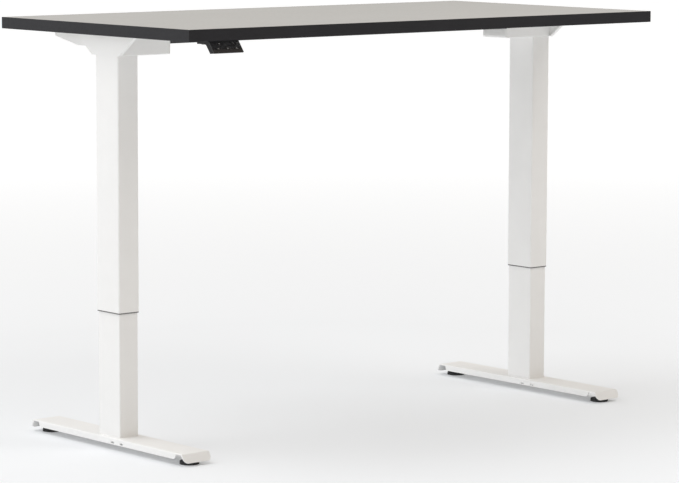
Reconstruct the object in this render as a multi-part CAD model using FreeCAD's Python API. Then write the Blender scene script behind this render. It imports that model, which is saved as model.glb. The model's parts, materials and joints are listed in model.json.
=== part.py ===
import FreeCAD, Part
import math
import os

from FreeCAD import Vector

# Height adjustable desk with two motor driven columns.
# The origin is on the floor, under the middle of the top. +X runs along the desk to the user's right,
# +Y to the rear, +Z up. All sizes are in millimetres.

# ---- driving dimensions -------------------------------------------------------------------------

# Table top
top_length = 1500.0
top_depth = 750.0
top_thickness = 28.0
laminate_thickness = 0.8
edge_band_thickness = 2.0
work_height = 1022.0            # top surface at rest

# Travel of the lift from the rest height
travel_up = 185.0
travel_down = 285.0

# Columns
column_inset = 72.0             # column centre from each end of the top
outer_tube_width = 60.0         # along X
outer_tube_depth = 90.0         # along Y
outer_tube_wall = 1.5
outer_tube_corner = 4.0
inner_tube_corner = 3.0
least_corner = 0.5              # smallest corner radius inside a tube
collar_clearance = 14.0         # between the collar and the foot at the lowest setting
tube_step = 2.5                 # the inner tube is smaller by this on every side
inner_tube_wall = 1.5
head_clearance = 5.0            # between the column guide and the head plate at the lowest setting
tube_end_plate = 6.0            # plates welded into the tube ends

# Column guides
slide_clearance = 0.3           # between a guide and the tube that slides on it
seat_clearance = 0.05           # between a piece and the seat that holds it
guide_cap_height = 8.0
guide_skirt_height = 40.0
guide_plug_height = 30.0
collar_lip = 2.5
collar_sleeve = 60.0

# Foot
foot_width = 80.0
foot_length = 626.0
foot_height = 30.0
foot_sheet = 3.0
foot_flange = 15.5              # full height of the side flange
foot_flange_end = 36.0          # from the tip of the foot back to the end of the flange
foot_bend = 4.0
foot_lip_run = 12.0             # how far the lip leans out
foot_lip_bottom = 8.5
foot_lip_corner = 12.0
foot_lip_bend = 5.0
foot_lip_edge = 1.0             # rounding of the lip's lower edges
slot_length = 13.0
slot_height = 5.0
slot_first = 28.0               # first slot from the column centre
slot_pitch = 36.0
slot_drop = 11.0                # slot centre below the foot's top

# Levellers
leveller_inset = 35.0           # from the tip of the foot
pad_radius = 23.0
pad_height = 8.0
pad_rim = 2.0
pad_floor = 3.0                 # rubber left under the stud
stud_radius = 4.0
stud_hex = 13.0                 # across flats
stud_hex_height = 4.0
stud_top_gap = 0.5              # stud's end below the foot's sheet
boss_radius = 8.0
leveller_travel = 7.0
thread_grip = 5.0               # boss left past the travel
thread_clearance = 0.06

# Foot screws
foot_screw_radius = 3.0
foot_screw_head_radius = 6.0
foot_screw_head = 3.5
foot_screw_grip = 9.0           # length inside the column
foot_screw_x = 15.0
foot_screw_y = 28.0
screw_hole_gap = 0.3            # clearance hole round a screw

# Spindle and nut
spindle_radius = 6.0
spindle_overrun = 34.0          # spindle still below the nut at the highest setting
spindle_clearance = 0.08
spindle_top_gap = 1.0           # spindle's end below the top of the gearbox cover
nut_radius = 12.0
nut_length = 34.0
nut_flange_radius = 18.0
nut_flange = 4.0

# Drive box on each column
box_height = 50.0
box_depth = 94.0
box_sheet = 2.0
box_bend = 3.0
box_outer_end = 31.0            # from the column centre outwards
box_inner_end = 128.0           # from the column centre inwards
box_flange = 15.0
end_cap_thickness = 12.0
end_cap_plug = 8.0
end_cap_wall = 2.0
end_cap_round = 8.0             # lower and upright edges of its end
spindle_hole = 8.0

# Side plate
side_sheet = 3.0
side_corner = 2.0
side_fold_start = 2.0           # from the plate's lower corner, along Y
side_bottom_half = 53.0
side_top_half = 120.0
side_return = 9.0
side_top_flange = 21.0
side_screw_y = (64.0, 100.0)
side_screw_x = 13.5             # from the plate's outer face

# Rear arm
arm_width = 40.0
arm_outer = 12.0                # from the column centre outwards to the arm's outer face
arm_length = 188.0
arm_root_height = 32.5
arm_tip_height = 13.5
arm_full_length = 93.0          # stretch at full height
arm_sheet = 2.0
arm_knee_bend = 30.0
arm_tip_bend = 4.0
arm_screw_y = (30.0, 165.0)     # from the root

# Gearbox, bearing, worm drive and motor
case_outer = 27.0
case_inner = 30.0
case_front = 42.0
case_rear = 30.0
case_height = 38.0
case_round = 3.0
case_wall = 2.0                 # behind the worm shaft's end
cover_thickness = 4.0
bearing_radius = 14.0
bearing_height = 8.0
bearing_lift = 2.0              # gearbox floor under the bearing
wheel_radius = 19.0
wheel_height = 18.0
wheel_hub_radius = 10.0
wheel_teeth = 24
wheel_tooth_depth = 2.0
wheel_rim_inset = 4.0           # teeth stop short of the hub's two ends
gap_root_share = 0.25           # width of a tooth gap at its root, as a share of the pitch
gap_tip_share = 0.55
worm_radius = 6.0
worm_core_radius = 4.2
worm_length = 36.0
worm_end_gap = 1.0
worm_thread_share = 0.4         # half width of the thread's foot, as a share of the pitch
gear_clearance = 0.3
pocket_clearance = 1.5
shaft_radius = 3.0
shaft_overhang = 6.0            # worm shaft past the outer end of the worm
shaft_end_gap = 1.0
motor_radius = 18.0
motor_length = 70.0
motor_round = 2.0
motor_socket = 10.0
motor_boss_radius = 12.0
motor_boss = 3.0
drive_screw_radius = 2.5
drive_screw_head_radius = 4.5
drive_screw_head = 3.5
drive_screw_x = 21.0
drive_screw_rear = 24.0
drive_screw_front = 37.0

# Cross rails
rail_height = 25.0
rail_depth = 20.0
rail_wall = 1.5
rail_entry = 24.0               # how far a rail reaches into each drive box
rail_gap = 0.2
rail_screws = 3                 # per rail
rail_screw_end = 60.0           # first screw from the drive box's end
driver_gap = 1.0                # round a screw head, in the wall that the driver passes

# Control box
control_length = 260.0
control_depth = 90.0
control_height = 28.0
control_wall = 2.5
control_front = 60.0            # its front face, behind the centre line
control_ear = 14.0
control_round = 4.0
control_cover = 2.5
board_thickness = 1.6
board_gap = 1.0
board_post_radius = 3.0
board_post_height = 6.0
board_post_inset = 8.0
inlet_width = 28.0
inlet_height = 20.0
inlet_depth = 18.0
inlet_margin = 4.0              # from the tray's rear wall
inlet_wall = 2.0
inlet_pit = 12.0                # depth of the inlet's and the sockets' mouths
socket_count = 3
socket_size = 10.0
socket_depth = 16.0
socket_pitch = 16.0
socket_margin = 6.0             # from the tray's front wall
socket_wall = 1.5
coil_radius = 11.0
coil_height = 13.0
coil_x = 40.0
coil_setback = 30.0             # behind the tray's front
capacitor_x = (-60.0, -20.0)
capacitor_setback = (25.0, 60.0)
capacitor_height = 12.0

# Handset
handset_left = 73.0             # from the left end of the top
handset_width = 87.0
handset_setback = 1.0           # face's lower edge behind the top's front edge
handset_drop = 28.0             # lower edge of the face below the top
face_lean = 20.0                # how far the face leans back over its height
face_rise = 26.0
face_thickness = 2.0
handset_floor = 15.0            # depth of the bottom
handset_floor_drop = 30.0
handset_back_rise = 19.0
handset_back_run = 15.0
shoulder_run = 5.0
handset_heel = 2.0              # roundings along the handset's outline
handset_shoulder = 3.0
flange_root = 2.0
flange_edge = 1.0
handset_flange_end = 65.0       # rear end of the mounting flange behind the front edge
handset_flange = 9.0
handset_wall = 2.0
handset_corner = 1.5
cavity_low = 6.5                # up the face, where the hollow behind the buttons starts
cavity_high = 30.5
cavity_spare = 2.4              # behind a pressed button
cavity_corner = 1.0
display_width = 20.0
display_height = 7.0
display_rise = 25.0             # centre up the face
display_centre = 48.5           # from the handset's left side
display_thickness = 1.2
display_corner = 1.0
button_width = 9.0
button_height = 5.5
button_corner = 1.5
button_proud = 1.0
button_travel = 0.8
button_rim = 1.0
button_gap = 0.3
top_row_rise = 25.0
top_row_across = (26.0, 66.0, 78.5)
bottom_row_rise = 11.7
bottom_row_across = (17.5, 45.0, 70.5)
handset_screw_inset = 12.0      # from the handset's two sides
handset_screw_setback = 8.0     # from the flange's rear edge

# Wood screws into the top
wood_screw_radius = 2.0
wood_screw_length = 18.0        # shank, from under the head
wood_screw_head_radius = 4.2
wood_screw_head = 2.2
wood_screw_hole_gap = 0.5

# Modelling
cut_past = 1.0                  # how far a cutter runs past the face that it opens
tiny = 1e-6                     # lengths below this count as nothing

# ---- sizes that follow --------------------------------------------------------------------------

underside = work_height - top_thickness
leg_x = top_length / 2 - column_inset
outer_tube_bottom = foot_height + travel_down + collar_clearance + collar_lip
inner_tube_width = outer_tube_width - 2 * tube_step
inner_tube_depth = outer_tube_depth - 2 * tube_step
outer_bore_width = outer_tube_width - 2 * outer_tube_wall
outer_bore_depth = outer_tube_depth - 2 * outer_tube_wall
inner_bore_width = inner_tube_width - 2 * inner_tube_wall
inner_bore_depth = inner_tube_depth - 2 * inner_tube_wall
box_bottom = underside - box_height
box_floor = box_bottom + box_sheet
inner_tube_top = box_bottom - tube_end_plate - travel_down - head_clearance - guide_cap_height
nut_bottom = inner_tube_top + guide_cap_height - nut_length
spindle_bottom = nut_bottom - travel_up - spindle_overrun
case_top = box_floor + case_height
wheel_bottom = box_floor + bearing_lift + bearing_height
worm_y = -(wheel_radius + worm_radius + gear_clearance)
worm_z = wheel_bottom + wheel_height / 2
worm_pitch = 2 * math.pi * (wheel_radius - wheel_tooth_depth / 2) / wheel_teeth
foot_underside = foot_height - foot_sheet
leveller_y = foot_length / 2 - leveller_inset
boss_height = leveller_travel + thread_grip
cavity_depth = button_gap + button_rim + button_travel + cavity_spare
rail_bottom = underside - rail_height
rail_face_y = box_depth / 2 - box_sheet - rail_gap
rail_half_length = leg_x - box_inner_end + rail_entry
control_top = underside - control_cover
control_floor = control_top - control_height
control_rear = control_front + control_depth
control_middle = (control_floor + control_top) / 2
wood_screw_hole = wood_screw_radius + wood_screw_hole_gap

# ---- plain shapes -------------------------------------------------------------------------------


def block(x0, x1, y0, y1, z0, z1):
    """Box between two corners."""
    return Part.makeBox(x1 - x0, y1 - y0, z1 - z0, Vector(x0, y0, z0))


def post(radius, z0, z1, x=0.0, y=0.0):
    """Upright cylinder."""
    return Part.makeCylinder(radius, z1 - z0, Vector(x, y, z0))


def bar(radius, x0, x1, y, z):
    """Cylinder along X."""
    return Part.makeCylinder(radius, x1 - x0, Vector(x0, y, z), Vector(1, 0, 0))


def outline(points, radii):
    """Closed flat wire through the points, with each corner rounded to its own radius."""
    starts = []
    middles = []
    ends = []
    for i, point in enumerate(points):
        back = (points[i - 1] - point).normalize()
        ahead = (points[(i + 1) % len(points)] - point).normalize()
        half_angle = back.getAngle(ahead) / 2
        run = radii[i] / math.tan(half_angle)
        inward = (back + ahead).normalize()
        starts.append(point + back * run)
        ends.append(point + ahead * run)
        middles.append(point + inward * (radii[i] / math.sin(half_angle) - radii[i]))
    edges = []
    for i, radius in enumerate(radii):
        if radius > 0:
            edges.append(Part.Arc(starts[i], middles[i], ends[i]).toShape())
        following = starts[(i + 1) % len(points)]
        if (following - ends[i]).Length > tiny:
            edges.append(Part.makeLine(ends[i], following))
    return Part.Wire(edges)


def prism_x(profile, radii, x0, x1):
    """Solid with a (y, z) profile, from x0 to x1."""
    wire = outline([Vector(x0, y, z) for y, z in profile], radii)
    return Part.Face(wire).extrude(Vector(x1 - x0, 0, 0))


def prism_y(profile, radii, y0, y1):
    """Solid with an (x, z) profile, from y0 to y1."""
    wire = outline([Vector(x, y0, z) for x, z in profile], radii)
    return Part.Face(wire).extrude(Vector(0, y1 - y0, 0))


def slab(width, depth, radius, z0, z1):
    """Upright rectangular solid on the Z axis with rounded corners."""
    x = width / 2
    y = depth / 2
    corners = [Vector(-x, -y, z0), Vector(x, -y, z0), Vector(x, y, z0), Vector(-x, y, z0)]
    return Part.Face(outline(corners, [radius] * 4)).extrude(Vector(0, 0, z1 - z0))


def fused(shapes):
    """One solid from touching shapes, with leftover seams removed."""
    return shapes[0].multiFuse(shapes[1:]).removeSplitter()


def moved(shape, x, y, z):
    """Copy of a shape, shifted."""
    copy = shape.copy()
    copy.translate(Vector(x, y, z))
    return copy


def four_corners(x, y):
    """The four places at plus and minus x and y."""
    return [(sx * x, sy * y) for sx in (-1, 1) for sy in (-1, 1)]


# ---- foot and levellers, about the column centre ------------------------------------------------


def foot_lip():
    """Down-turned front end of the foot: a sheet profile cut to rounded corners."""
    tip = foot_length / 2
    lean = tip - foot_lip_run
    inside = lean - foot_sheet
    root = tip - foot_flange_end - foot_bend
    profile = [
        (root, foot_underside),
        (root, foot_height),
        (lean, foot_height),
        (tip, foot_lip_bottom),
        (tip - foot_sheet, foot_lip_bottom),
        (inside, foot_underside),
    ]
    half = foot_width / 2
    inner_bend = foot_lip_bend - foot_sheet
    radii = [0, 0, foot_lip_bend, foot_lip_edge, foot_lip_edge, inner_bend]
    sheet = prism_x(profile, radii, -half, half)
    front = [(-half, foot_height), (half, foot_height), (half, foot_lip_bottom), (-half, foot_lip_bottom)]
    corners = [foot_bend, foot_bend, foot_lip_corner, foot_lip_corner]
    return sheet.common(prism_y(front, corners, root, tip))


def foot_channel():
    """Inverted U of bent sheet between the two lips."""
    half = foot_width / 2
    bottom = foot_height - foot_flange
    inside = half - foot_sheet
    profile = [
        (-half, bottom),
        (-half, foot_height),
        (half, foot_height),
        (half, bottom),
        (inside, bottom),
        (inside, foot_underside),
        (-inside, foot_underside),
        (-inside, bottom),
    ]
    reach = foot_length / 2 - foot_flange_end
    inner_bend = foot_bend - foot_sheet
    sheet = prism_y(profile, [0, foot_bend, foot_bend, 0, 0, inner_bend, inner_bend, 0], -reach, reach)
    side = [(-reach, bottom), (reach, bottom), (reach, foot_height), (-reach, foot_height)]
    soft_ends = foot_flange - foot_sheet - inner_bend
    return sheet.common(prism_x(side, [soft_ends, soft_ends, 0, 0], -half, half))


def flange_slot(side, y):
    """Cutter for one round-ended slot through the flange on the given side."""
    outer = foot_width / 2 + cut_past
    inner = foot_width / 2 - foot_sheet - cut_past
    x0, x1 = sorted((side * outer, side * inner))
    z = foot_height - slot_drop
    half = slot_height / 2
    reach = slot_length / 2 - half
    middle = block(x0, x1, y - reach, y + reach, z - half, z + half)
    return fused([middle, bar(half, x0, x1, y - reach, z), bar(half, x0, x1, y + reach, z)])


def foot():
    """Bent sheet foot with threaded bosses for the levellers and holes for the column screws."""
    lip = foot_lip()
    rear_lip = lip.mirror(Vector(0, 0, 0), Vector(0, 1, 0))
    body = [foot_channel(), lip, rear_lip]
    for y in (-leveller_y, leveller_y):
        body.append(post(boss_radius, foot_underside - boss_height, foot_underside, 0, y))
    shape = fused(body)
    cutters = []
    for side in (-1, 1):
        for distance in (slot_first, slot_first + slot_pitch):
            cutters.append(flange_slot(side, side * distance))
    for y in (-leveller_y, leveller_y):
        cutters.append(post(stud_radius + thread_clearance, 0, foot_underside, 0, y))
    for x, y in four_corners(foot_screw_x, foot_screw_y):
        cutters.append(post(foot_screw_radius + screw_hole_gap, 0, foot_height + cut_past, x, y))
    return shape.cut(cutters)


def foot_screws():
    """Four screws from under the foot into the column's end plate."""
    screws = []
    for x, y in four_corners(foot_screw_x, foot_screw_y):
        head = post(foot_screw_head_radius, foot_underside - foot_screw_head, foot_underside, x, y)
        shank = post(foot_screw_radius, foot_underside, foot_height + foot_screw_grip, x, y)
        screws.append(fused([head, shank]))
    return Part.Compound(screws)


def leveller_pad(y):
    """Round moulded pad with a softened rim and a blind seat for the stud."""
    disc = post(pad_radius, 0, pad_height, 0, y)
    rim = [edge for edge in disc.Edges if abs(edge.BoundBox.ZMin - pad_height) < tiny]
    rim = [edge for edge in rim if edge.BoundBox.ZLength < tiny]
    disc = disc.makeFillet(pad_rim, rim)
    return disc.cut(post(stud_radius + seat_clearance, pad_floor, pad_height + cut_past, 0, y))


def leveller_stud(y):
    """Stud with a hexagon that stands on the pad."""
    stud = post(stud_radius, pad_floor, foot_underside - stud_top_gap, 0, y)
    corner = stud_hex / math.sqrt(3)
    points = []
    for i in range(6):
        angle = math.radians(60 * i)
        points.append(Vector(corner * math.cos(angle), y + corner * math.sin(angle), pad_height))
    hexagon = Part.Face(outline(points, [0] * 6)).extrude(Vector(0, 0, stud_hex_height))
    return fused([stud, hexagon])


# ---- column, about its centre -------------------------------------------------------------------


def inner_tube():
    """Lower tube with its welded end plate, standing on the foot."""
    solid = slab(inner_tube_width, inner_tube_depth, inner_tube_corner, foot_height, inner_tube_top)
    bore_corner = max(inner_tube_corner - inner_tube_wall, least_corner)
    bore_bottom = foot_height + tube_end_plate
    bore = slab(inner_bore_width, inner_bore_depth, bore_corner, bore_bottom, inner_tube_top)
    holes = []
    for x, y in four_corners(foot_screw_x, foot_screw_y):
        holes.append(post(foot_screw_radius + thread_clearance, foot_height, bore_bottom, x, y))
    return solid.cut([bore] + holes)


def column_guide():
    """Nylon guide on the inner tube's top end: cap, outer skirt and the plug that holds the nut."""
    width = outer_bore_width - 2 * slide_clearance
    depth = outer_bore_depth - 2 * slide_clearance
    corner = inner_tube_corner
    cap_top = inner_tube_top + guide_cap_height
    skirt_bottom = inner_tube_top - guide_skirt_height
    block_out = slab(width, depth, corner, skirt_bottom, cap_top)
    tube_space = slab(
        inner_tube_width + 2 * seat_clearance,
        inner_tube_depth + 2 * seat_clearance,
        corner,
        skirt_bottom,
        inner_tube_top,
    )
    plug = slab(
        inner_bore_width - 2 * seat_clearance,
        inner_bore_depth - 2 * seat_clearance,
        max(inner_tube_corner - inner_tube_wall, least_corner),
        inner_tube_top - guide_plug_height,
        inner_tube_top,
    )
    shape = fused([block_out.cut(tube_space), plug])
    seat = nut_radius + seat_clearance
    flange_seat = nut_flange_radius + seat_clearance
    nut_hole = post(seat, inner_tube_top - guide_plug_height, cap_top)
    return shape.cut([nut_hole, post(flange_seat, cap_top - nut_flange, cap_top)])


def spindle_nut():
    """Flanged nut, flush with the top of the column guide."""
    top = inner_tube_top + guide_cap_height
    body = post(nut_radius, nut_bottom, top)
    flange = post(nut_flange_radius, top - nut_flange, top)
    return fused([body, flange]).cut(post(spindle_radius + spindle_clearance, nut_bottom, top))


def spindle():
    """Lifting screw, hanging from the gearbox down through the nut."""
    return post(spindle_radius, spindle_bottom, case_top + cover_thickness - spindle_top_gap)


def outer_tube():
    """Upper tube with the head plate that the drive is screwed to."""
    solid = slab(outer_tube_width, outer_tube_depth, outer_tube_corner, outer_tube_bottom, box_bottom)
    bore_corner = outer_tube_corner - outer_tube_wall
    bore_top = box_bottom - tube_end_plate
    bore = slab(outer_bore_width, outer_bore_depth, bore_corner, outer_tube_bottom, bore_top)
    holes = [post(spindle_hole, bore_top, box_bottom)]
    for x, y in drive_screw_places():
        holes.append(post(drive_screw_radius + thread_clearance, bore_top, box_bottom, x, y))
    return solid.cut([bore] + holes)


def guide_collar():
    """Liner in the mouth of the outer tube, with a lip that shows as a thin line below it."""
    lip_bottom = outer_tube_bottom - collar_lip
    lip = slab(outer_tube_width, outer_tube_depth, outer_tube_corner, lip_bottom, outer_tube_bottom)
    sleeve = slab(
        outer_bore_width - 2 * seat_clearance,
        outer_bore_depth - 2 * seat_clearance,
        outer_tube_corner - outer_tube_wall,
        outer_tube_bottom,
        outer_tube_bottom + collar_sleeve,
    )
    passage = slab(
        inner_tube_width + 2 * slide_clearance,
        inner_tube_depth + 2 * slide_clearance,
        inner_tube_corner,
        lip_bottom,
        outer_tube_bottom + collar_sleeve,
    )
    return fused([lip, sleeve]).cut(passage)


# ---- drive box and brackets, about the column centre, +X inwards --------------------------------


def drive_screw_places():
    """Where the four drive screws stand."""
    places = []
    for x in (-drive_screw_x, drive_screw_x):
        places.append((x, drive_screw_rear))
        places.append((x, -drive_screw_front))
    return places


def drive_box():
    """Bent sheet channel with top flanges, open at both ends."""
    half = box_depth / 2
    inside = half - box_sheet
    lip = half - box_flange
    profile = [
        (-half, box_bottom),
        (half, box_bottom),
        (half, underside),
        (lip, underside),
        (lip, underside - box_sheet),
        (inside, underside - box_sheet),
        (inside, box_floor),
        (-inside, box_floor),
        (-inside, underside - box_sheet),
        (-lip, underside - box_sheet),
        (-lip, underside),
        (-half, underside),
    ]
    bend = box_bend
    inner_bend = box_bend - box_sheet
    radii = [bend, bend, bend, 0, 0, inner_bend, inner_bend, inner_bend, inner_bend, 0, 0, bend]
    end = box_inner_end - end_cap_thickness
    channel = prism_x(profile, radii, -box_outer_end, end)
    cutters = [post(spindle_hole, box_bottom, box_floor)]
    for x, y in drive_screw_places():
        cutters.append(post(drive_screw_radius + screw_hole_gap, box_bottom, box_floor, x, y))
    notch = box_inner_end - rail_entry - rail_gap
    cutters.append(block(notch, end, -inside, inside, underside - box_bend, underside))
    return channel.cut(cutters)


def box_end_cap():
    """Moulded cap on the inner end of the box, rounded at its end and notched for the two rails."""
    half = box_depth / 2
    start = box_inner_end - end_cap_thickness
    end = box_inner_end
    section = [(-half, box_bottom), (half, box_bottom), (half, underside), (-half, underside)]
    cap = prism_x(section, [box_bend, box_bend, 0, 0], start, end)
    side_view = [(start, box_bottom), (end, box_bottom), (end, underside), (start, underside)]
    cap = cap.common(prism_y(side_view, [0, end_cap_round, 0, 0], -half, half))
    corners = [Vector(start, -half, box_bottom), Vector(end, -half, box_bottom)]
    corners += [Vector(end, half, box_bottom), Vector(start, half, box_bottom)]
    top_view = outline(corners, [0, end_cap_round, end_cap_round, 0])
    cap = cap.common(Part.Face(top_view).extrude(Vector(0, 0, box_height)))
    fit = box_sheet + 2 * seat_clearance
    plug_corners = [
        (-half + fit, box_bottom + fit),
        (half - fit, box_bottom + fit),
        (half - fit, underside - fit),
        (-half + fit, underside - fit),
    ]
    plug = prism_x(plug_corners, [box_bend] * 4, start - end_cap_plug, start)
    hollow = block(
        start - end_cap_plug,
        box_inner_end - end_cap_wall,
        -half + fit + end_cap_wall,
        half - fit - end_cap_wall,
        box_bottom + fit + end_cap_wall,
        underside,
    )
    shape = fused([cap, plug]).cut(hollow)
    rail_space = rail_face_y + rail_gap
    inner_side = rail_face_y - rail_depth - rail_gap
    for side in (-1, 1):
        y0, y1 = sorted((side * rail_space, side * inner_side))
        notch = block(start - end_cap_plug, box_inner_end, y0, y1, rail_bottom - rail_gap, underside)
        shape = shape.cut(notch)
    return shape


def side_plate():
    """Trapezoid plate on the outer end of the box, with folded edges and two top flanges."""
    outer = -box_outer_end - side_sheet
    inner = -box_outer_end
    low = side_bottom_half
    high = side_top_half
    plate = prism_x(
        [(-low, box_bottom), (low, box_bottom), (high, underside), (-high, underside)],
        [side_corner, side_corner, 0, 0],
        outer,
        inner,
    )
    slope = math.hypot(high - low, box_height)
    step_y = side_sheet * slope / box_height
    fold_y = low + side_fold_start
    fold_z = box_bottom + side_fold_start * box_height / (high - low)
    shapes = [plate]
    for side in (-1, 1):
        fold = [
            (side * fold_y, fold_z),
            (side * high, underside),
            (side * (high - step_y), underside),
            (side * (fold_y - step_y), fold_z),
        ]
        shapes.append(prism_x(fold, [0] * 4, outer, outer + side_return))
        y0, y1 = sorted((side * (box_depth / 2 + seat_clearance), side * (high - side_sheet)))
        shapes.append(block(outer, outer + side_top_flange, y0, y1, underside - side_sheet, underside))
    shape = fused(shapes)
    holes = []
    for x, y in side_screw_places():
        holes.append(post(wood_screw_hole, underside - side_sheet, underside, x, y))
    return shape.cut(holes)


def rear_arm():
    """Channel that runs to the rear under the top and tapers to its tip."""
    root = box_depth / 2
    tip = root + arm_length
    knee = root + arm_full_length
    outer = -arm_outer
    side = prism_x(
        [
            (root, underside),
            (root, underside - arm_root_height),
            (knee, underside - arm_root_height),
            (tip, underside - arm_tip_height),
            (tip, underside),
        ],
        [0, 0, arm_knee_bend, arm_tip_bend, 0],
        outer,
        outer + arm_width,
    )
    hollow = block(
        outer + arm_sheet,
        outer + arm_width - arm_sheet,
        root + arm_sheet,
        tip - arm_sheet,
        underside - arm_root_height - cut_past,
        underside - arm_sheet,
    )
    holes = []
    for x, y in arm_screw_places():
        holes.append(post(wood_screw_hole, underside - arm_sheet, underside, x, y))
    return side.cut([hollow] + holes)


# ---- drive in the box, about the column centre, +X inwards --------------------------------------


def gearbox_case():
    """Cast case with the bearing seat, the worm wheel pocket and the worm bore."""
    case = block(-case_outer, case_inner, -case_front, case_rear, box_floor, case_top)
    corners = [edge for edge in case.Edges if edge.BoundBox.ZLength > case_height - tiny]
    case = case.makeFillet(case_round, corners)
    bearing_bottom = box_floor + bearing_lift
    cutters = [
        post(spindle_hole, box_floor, bearing_bottom),
        post(bearing_radius + seat_clearance, bearing_bottom, wheel_bottom),
        post(wheel_radius + pocket_clearance, wheel_bottom, case_top),
        bar(worm_radius + pocket_clearance, -worm_length / 2 - worm_end_gap, case_inner, worm_y, worm_z),
        bar(shaft_radius + spindle_clearance, -case_outer + case_wall, 0, worm_y, worm_z),
    ]
    for x, y in drive_screw_places():
        cutters.append(post(drive_screw_radius + screw_hole_gap, box_floor, case_top, x, y))
    return case.cut(cutters)


def gearbox_cover():
    """Flat cover that closes the case and steadies the spindle's end."""
    top = case_top + cover_thickness
    cover = block(-case_outer, case_inner, -case_front, case_rear, case_top, top)
    corners = [edge for edge in cover.Edges if edge.BoundBox.ZLength > cover_thickness - tiny]
    cover = cover.makeFillet(case_round, corners)
    holes = [post(spindle_radius + spindle_clearance, case_top, top)]
    for x, y in drive_screw_places():
        holes.append(post(drive_screw_radius + screw_hole_gap, case_top, top, x, y))
    return cover.cut(holes)


def drive_screws():
    """Four long screws through cover, case and box floor into the column's head plate."""
    under_head = case_top + cover_thickness
    screws = []
    for x, y in drive_screw_places():
        head = post(drive_screw_head_radius, under_head, under_head + drive_screw_head, x, y)
        shank = post(drive_screw_radius, box_bottom - tube_end_plate, under_head, x, y)
        screws.append(fused([head, shank]))
    return screws


def spindle_bearing():
    """Ball bearing as one ring."""
    bottom = box_floor + bearing_lift
    ring = post(bearing_radius, bottom, bottom + bearing_height)
    return ring.cut(post(spindle_radius + seat_clearance, bottom, bottom + bearing_height))


def worm_wheel():
    """Toothed wheel on the spindle, resting on the bearing."""
    top = wheel_bottom + wheel_height
    rim_bottom = wheel_bottom + wheel_rim_inset
    rim_top = top - wheel_rim_inset
    wheel = fused([post(wheel_hub_radius, wheel_bottom, top), post(wheel_radius, rim_bottom, rim_top)])
    gaps = []
    for i in range(wheel_teeth):
        gap = tooth_gap(rim_bottom, rim_top)
        gap.rotate(Vector(0, 0, 0), Vector(0, 0, 1), 360.0 * i / wheel_teeth)
        gaps.append(gap)
    gaps.append(post(spindle_radius + seat_clearance, wheel_bottom, top))
    return wheel.cut(gaps)


def tooth_gap(z0, z1):
    """Cutter for one tooth gap, wider at the tip than at the root."""
    pitch = 2 * math.pi * wheel_radius / wheel_teeth
    root = wheel_radius - wheel_tooth_depth
    tip = wheel_radius + cut_past
    root_half = pitch * gap_root_share / 2
    tip_half = pitch * gap_tip_share / 2
    corners = [
        Vector(root, -root_half, z0),
        Vector(tip, -tip_half, z0),
        Vector(tip, tip_half, z0),
        Vector(root, root_half, z0),
    ]
    return Part.Face(outline(corners, [0] * 4)).extrude(Vector(0, 0, z1 - z0))


def worm_shaft():
    """Motor shaft with the worm on it, its thread as a row of sharp rings."""
    start = -worm_length / 2
    end = worm_length / 2
    shaft_end = case_inner + motor_socket - shaft_end_gap
    pieces = [
        bar(shaft_radius, start - shaft_overhang, shaft_end, worm_y, worm_z),
        bar(worm_core_radius, start, end, worm_y, worm_z),
    ]
    turns = int(worm_length / worm_pitch)
    for i in range(turns):
        x = start + worm_pitch * (i + 0.5)
        half = worm_pitch * worm_thread_share
        for sign in (-1, 1):
            pieces.append(
                Part.makeCone(
                    worm_core_radius,
                    worm_radius,
                    half,
                    Vector(x + sign * half, worm_y, worm_z),
                    Vector(-sign, 0, 0),
                )
            )
    return fused(pieces)


def motor():
    """Round motor with a front boss, flanged to the gearbox case."""
    boss_end = case_inner + motor_boss
    end = case_inner + motor_length
    can = bar(motor_radius, boss_end, end, worm_y, worm_z)
    rear_edges = []
    for edge in can.Edges:
        if edge.BoundBox.XMin > end - tiny:
            rear_edges.append(edge)
    can = can.makeFillet(motor_round, rear_edges)
    boss = bar(motor_boss_radius, case_inner, boss_end, worm_y, worm_z)
    socket = bar(shaft_radius + spindle_clearance, case_inner, case_inner + motor_socket, worm_y, worm_z)
    return fused([can, boss]).cut(socket)


# ---- table top, rails and what hangs under it ---------------------------------------------------


def top_core():
    """Particle board with a pilot hole for every wood screw."""
    half_x = top_length / 2 - edge_band_thickness
    half_y = top_depth / 2 - edge_band_thickness
    core = block(-half_x, half_x, -half_y, half_y, underside, work_height - laminate_thickness)
    holes = []
    for x, y, z in wood_screw_places():
        holes.append(post(wood_screw_radius + seat_clearance, underside, z + wood_screw_length, x, y))
    return core.cut(holes)


def top_laminate():
    """Decor sheet on the core."""
    half_x = top_length / 2 - edge_band_thickness
    half_y = top_depth / 2 - edge_band_thickness
    return block(-half_x, half_x, -half_y, half_y, work_height - laminate_thickness, work_height)


def edge_band():
    """Band round all four edges of the top."""
    half_x = top_length / 2
    half_y = top_depth / 2
    band = edge_band_thickness
    full = block(-half_x, half_x, -half_y, half_y, underside, work_height)
    inside_x = half_x - band
    inside_y = half_y - band
    return full.cut(block(-inside_x, inside_x, -inside_y, inside_y, underside, work_height))


def cross_rail(side):
    """Rectangular tube between the drive boxes; side is -1 for the front and 1 for the rear."""
    y0, y1 = sorted((side * rail_face_y, side * (rail_face_y - rail_depth)))
    outside = block(-rail_half_length, rail_half_length, y0, y1, rail_bottom, underside)
    inside = block(
        -rail_half_length,
        rail_half_length,
        y0 + rail_wall,
        y1 - rail_wall,
        rail_bottom + rail_wall,
        underside - rail_wall,
    )
    holes = []
    for x, y in rail_screw_places(side):
        # A wide hole in the lower wall lets the screw through to seat on the upper wall.
        way_in = wood_screw_head_radius + driver_gap
        holes.append(post(way_in, rail_bottom, rail_bottom + rail_wall, x, y))
        holes.append(post(wood_screw_hole, underside - rail_wall, underside, x, y))
    return outside.cut([inside] + holes)


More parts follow.
